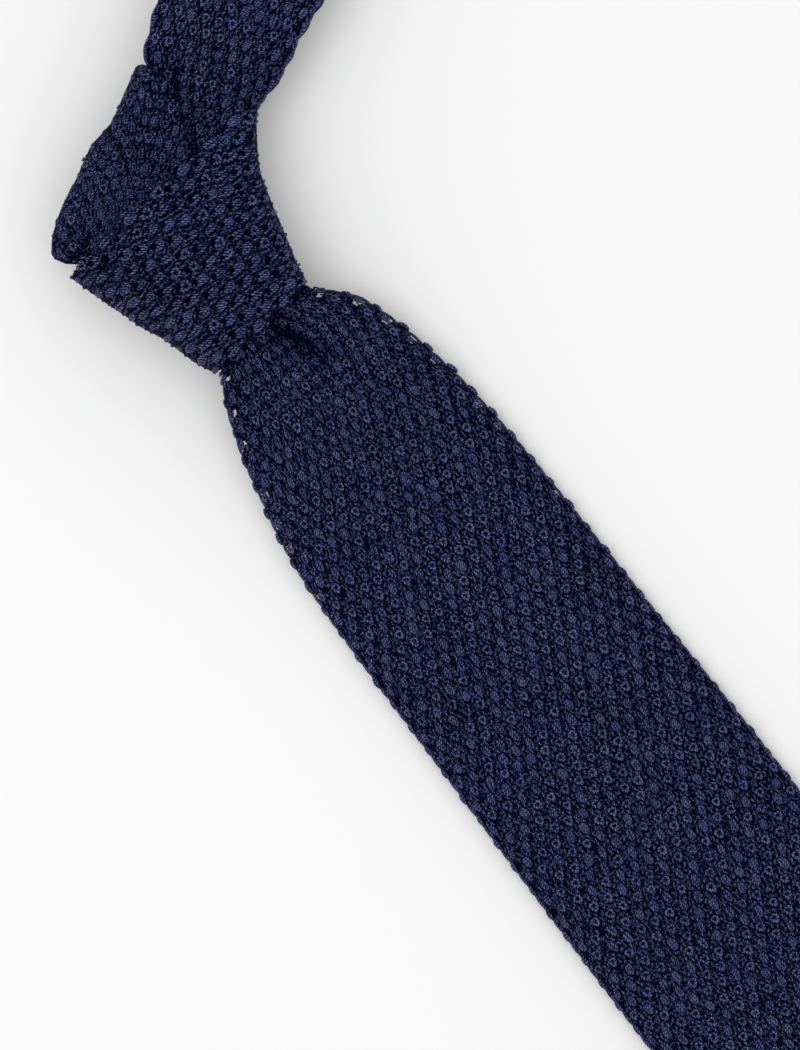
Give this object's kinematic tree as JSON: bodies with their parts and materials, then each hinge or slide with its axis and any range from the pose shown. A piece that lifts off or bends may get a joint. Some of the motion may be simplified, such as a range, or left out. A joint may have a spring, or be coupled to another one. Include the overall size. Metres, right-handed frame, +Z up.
{
  "type": "knit tie",
  "caption": "Knitted silk tie, tied and lying flat: square-ended blade with a dimple, tapered slanting knot, folded neck loop, and narrow tail behind.",
  "frame": {"origin": "on the surface that the tie lies on, under the middle of the knot", "axes": "+Z up from the surface to the knot's front, -Y along the blade to its free end, +X to the right as seen from above with the neck side up"},
  "size_m": [0.2184, 0.6501, 0.0206],
  "materials": {
    "navy_knit": "knitted navy silk, soft sheen"
  },
  "bodies": {
    "root": {"front_blade": "navy_knit", "knot_wrap": "navy_knit", "neck_loop": "navy_knit", "tail_blade": "navy_knit"}
  },
  "joints": []
}
